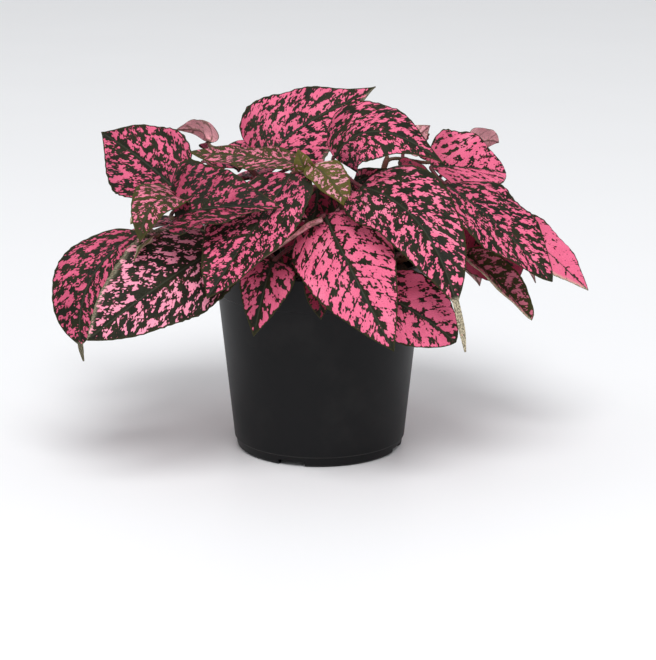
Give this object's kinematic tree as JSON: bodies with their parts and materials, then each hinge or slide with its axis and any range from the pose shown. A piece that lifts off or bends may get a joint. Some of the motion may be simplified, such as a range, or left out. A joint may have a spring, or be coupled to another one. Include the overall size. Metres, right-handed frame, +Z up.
{
  "type": "potted foliage plant",
  "caption": "Bushy potted polka dot plant with pointed oval leaves, pink and blotched with dark green, in a plain tapered black nursery pot filled with soil.",
  "frame": {"origin": "centre of the circle that the pot stands on, which is also the middle of the plant's spread seen from above", "axes": "+Z up along the pot's axis, -Y towards the side seen from the front, +X to the right of that side"},
  "size_m": [0.261, 0.1938, 0.1755],
  "materials": {
    "pot_plastic": "satin",
    "potting_soil": "matte",
    "foliage": "satin"
  },
  "bodies": {
    "root": {"pot": "pot_plastic", "soil": "potting_soil", "leafy_stem_centre": "foliage", "leafy_stem_left": "foliage", "leafy_stem_far_left": "foliage", "leafy_stem_back_left": "foliage", "leafy_stem_centre_right": "foliage", "leafy_stem_right": "foliage", "leafy_stem_right_low": "foliage", "leafy_stem_front": "foliage", "leafy_stem_back_right": "foliage", "leafy_stem_back": "foliage", "leafy_stem_far_back_left": "foliage"}
  },
  "joints": []
}
